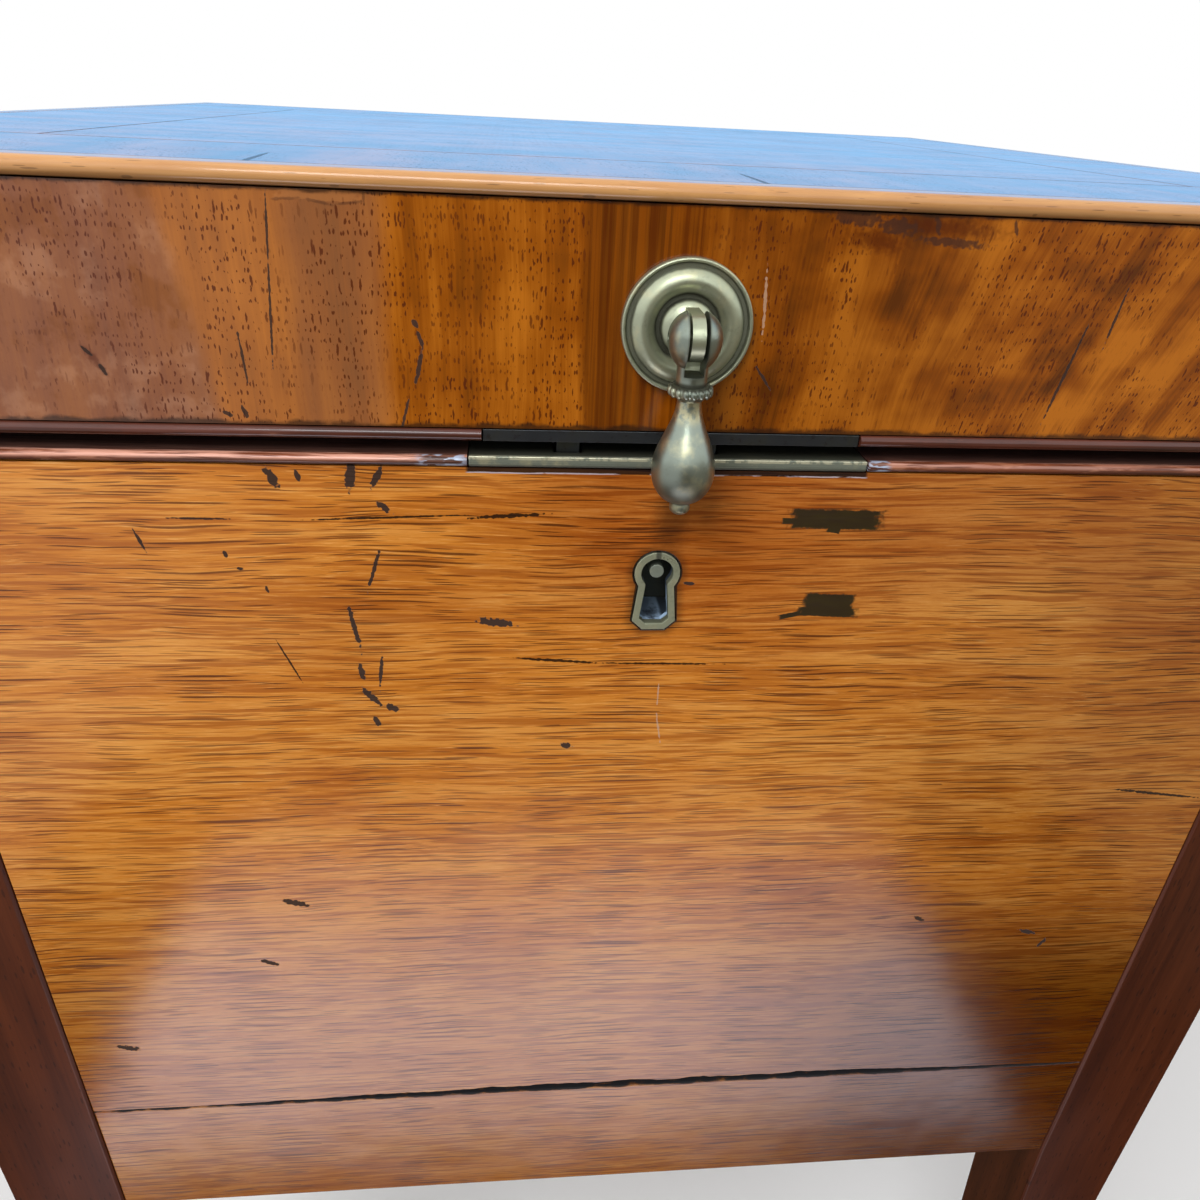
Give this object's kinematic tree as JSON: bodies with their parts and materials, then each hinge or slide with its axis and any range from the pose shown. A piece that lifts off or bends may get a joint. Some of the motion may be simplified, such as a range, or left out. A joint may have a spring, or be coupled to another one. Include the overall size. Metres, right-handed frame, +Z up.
{
  "type": "cellarette on stand",
  "caption": "Square mahogany bottle box on tapered legs, with a deep hinged lid, a turned brass drop pull, a box lock with a sliding bolt, and dividers for bottles inside.",
  "frame": {"origin": "on the floor under the middle of the whole object", "axes": "+Z up, front towards -Y, +X to the right as seen from the front"},
  "size_m": [0.443, 0.4652, 0.68],
  "materials": {
    "dark_brass": "dull dark patinated brass",
    "dark_mahogany": "varnished dark red-brown mahogany",
    "figured_mahogany": "glossy old varnish on mottled red-brown mahogany veneer",
    "honey_edge": "varnished honey-coloured edge bead",
    "iron": "dull dark iron",
    "old_brass": "softly glossy brass with a greenish-grey patina",
    "panel_mahogany": "glossy old varnish on orange-brown mahogany",
    "pine": "plain unpolished softwood",
    "red_edge": "worn varnished red-brown edge bead"
  },
  "bodies": {
    "case": {"back_panel": "pine", "back_rail": "pine", "bolt_spring": "iron", "bottom_board": "pine", "bottom_cleat_left": "pine", "bottom_cleat_right": "pine", "divider_along_x_1": "pine", "divider_along_x_2": "pine", "divider_along_y_1": "pine", "divider_along_y_2": "pine", "front_panel": "panel_mahogany", "front_rail": "panel_mahogany", "hinge_left_case_leaf": "old_brass", "hinge_left_pin": "old_brass", "hinge_right_case_leaf": "old_brass", "hinge_right_pin": "old_brass", "key_pin": "iron", "keyhole_escutcheon": "old_brass", "left_panel": "panel_mahogany", "left_rail": "panel_mahogany", "leg_back_left": "dark_mahogany", "leg_back_right": "dark_mahogany", "leg_front_left": "dark_mahogany", "leg_front_right": "dark_mahogany", "lock_box": "iron", "lock_plate": "old_brass", "right_panel": "panel_mahogany", "right_rail": "panel_mahogany", "rim_bead_front_left": "red_edge", "rim_bead_front_right": "red_edge", "rim_bead_left": "red_edge", "rim_bead_right": "red_edge"},
    "lid": {"crossband_back": "figured_mahogany", "crossband_front": "figured_mahogany", "crossband_left": "figured_mahogany", "crossband_right": "figured_mahogany", "hinge_left_lid_leaf": "old_brass", "hinge_right_lid_leaf": "old_brass", "lid_back": "pine", "lid_bead_front_left": "red_edge", "lid_bead_front_right": "red_edge", "lid_bead_left": "red_edge", "lid_bead_right": "red_edge", "lid_field_veneer": "figured_mahogany", "lid_front": "figured_mahogany", "lid_left": "figured_mahogany", "lid_right": "figured_mahogany", "lid_top_board": "pine", "link_plate": "dark_brass", "pull_nut": "iron", "pull_pin": "old_brass", "pull_post": "old_brass", "pull_rosette": "old_brass", "top_bead_back": "honey_edge", "top_bead_front": "honey_edge", "top_bead_left": "honey_edge", "top_bead_right": "honey_edge"},
    "pendant": {"pull_pendant": "old_brass"},
    "bolt": {"lock_bolt": "iron"}
  },
  "joints": [
    {"name": "lid_hinge", "type": "hinge", "parent": "case", "child": "lid", "pos_m": [0, 0.22962, 0.62145], "axis": [-1, 0, 0], "range_deg": [0, 100]},
    {"name": "pull_swing", "type": "hinge", "parent": "lid", "child": "pendant", "pos_m": [0.0018, -0.22537, 0.651], "axis": [-1, 0, 0], "range_deg": [-6, 85]},
    {"name": "lock_bolt_slide", "type": "slide", "parent": "case", "child": "bolt", "axis": [1, 0, 0], "range_m": [0, 0.007]}
  ]
}
